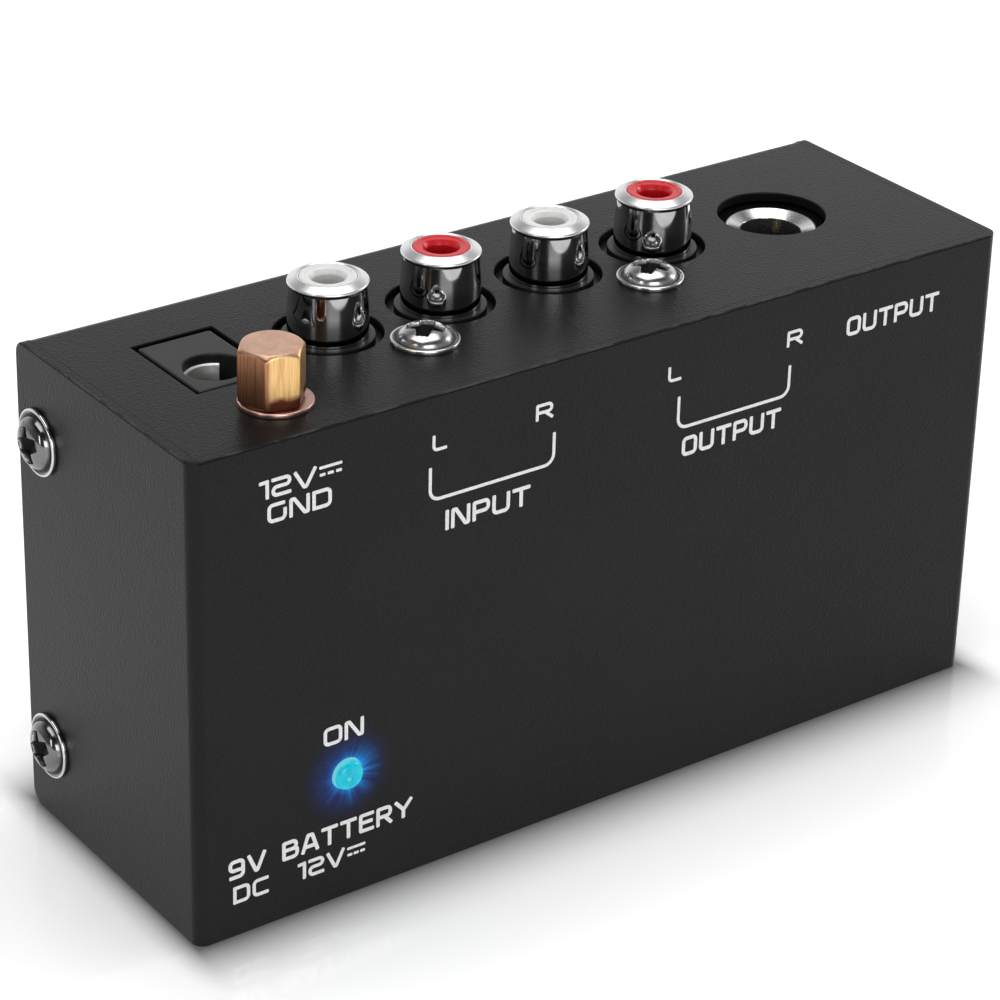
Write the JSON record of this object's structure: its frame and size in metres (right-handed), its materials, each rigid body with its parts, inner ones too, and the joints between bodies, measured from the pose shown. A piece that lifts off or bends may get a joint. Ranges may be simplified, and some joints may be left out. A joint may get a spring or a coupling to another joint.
{
  "type": "phono preamplifier",
  "caption": "Small phono preamplifier in a folded steel case, with RCA, quarter inch and power sockets, a ground terminal, a lamp and a battery door.",
  "frame": {"origin": "middle of the long narrow side that the case stands on", "axes": "+X along the case to the right end, +Y from the lettered face to the underside, +Z from the resting side to the jack panel"},
  "size_m": [0.1038, 0.0365, 0.0593],
  "materials": {
    "powder_coat": "fine textured black powder coat",
    "screw_metal": "dark bright nickel",
    "chrome_shell": "polished chrome",
    "bright_metal": "bright nickel",
    "contact_brass": "plain brass",
    "nut_brass": "coppery brass, satin faces",
    "copper_washer": "pinkish copper",
    "black_plastic": "moulded black plastic",
    "white_insulator": "white plastic",
    "red_insulator": "red plastic",
    "tray_plastic": "finely grained black plastic",
    "battery_case": "plain printed metal jacket",
    "board_green": "green solder mask",
    "cap_sleeve": "dark blue sleeve",
    "film_red": "dark red dip",
    "resistor_blue": "pale blue lacquer",
    "lamp_blue": "clear blue lens",
    "green_wire": "green insulation",
    "red_wire": "red insulation",
    "black_wire": "black insulation",
    "foot_rubber": "black rubber"
  },
  "bodies": {
    "case": {"cover": "powder_coat", "chassis": "powder_coat", "end_screws": "screw_metal", "jack_screws": "screw_metal", "input_block": "black_plastic", "output_block": "black_plastic", "input_left_shell": "chrome_shell", "input_right_shell": "chrome_shell", "output_left_shell": "chrome_shell", "output_right_shell": "chrome_shell", "input_left_insulator": "white_insulator", "input_right_insulator": "red_insulator", "output_left_insulator": "white_insulator", "output_right_insulator": "red_insulator", "input_left_contact": "contact_brass", "input_right_contact": "contact_brass", "output_left_contact": "contact_brass", "output_right_contact": "contact_brass", "power_socket": "black_plastic", "power_pin": "bright_metal", "power_spring": "bright_metal", "phone_socket": "black_plastic", "phone_ring": "bright_metal", "phone_tip_spring": "contact_brass", "ground_stud": "contact_brass", "ground_tag": "bright_metal", "ground_wire": "green_wire", "circuit_board": "board_green", "standoffs": "contact_brass", "board_screws": "screw_metal", "amplifier_chip": "black_plastic", "electrolytic_caps": "cap_sleeve", "film_caps": "film_red", "resistors": "resistor_blue", "regulator": "black_plastic", "polarity_diode": "black_plastic", "lamp_lens": "lamp_blue", "lamp_leads": "bright_metal", "battery_tray": "tray_plastic", "battery": "battery_case", "battery_terminals": "bright_metal", "snap_connector": "black_plastic", "battery_lead_red": "red_wire", "battery_lead_black": "black_wire", "feet": "foot_rubber"},
    "ground_washer": {"ground_washer": "copper_washer"},
    "ground_nut": {"ground_nut": "nut_brass"},
    "battery_door": {"battery_door": "tray_plastic"}
  },
  "joints": [
    {"name": "ground_nut_rise", "type": "slide", "parent": "case", "child": "ground_washer", "axis": [0, 0, 1], "range_m": [0, 0.002]},
    {"name": "ground_nut_turn", "type": "hinge", "parent": "ground_washer", "child": "ground_nut", "pos_m": [-0.0369, -0.0097, 0.056], "axis": [0, 0, 1], "range_deg": [0, 1440]},
    {"name": "battery_door_hinge", "type": "hinge", "parent": "case", "child": "battery_door", "pos_m": [-0.0298, 0.0168, 0.0185], "axis": [0, 0, 1], "range_deg": [0, 90]}
  ],
  "couplings": [
    {"joint": "ground_nut_turn", "follows": "ground_nut_rise", "rad_per_m": 12566}
  ]
}
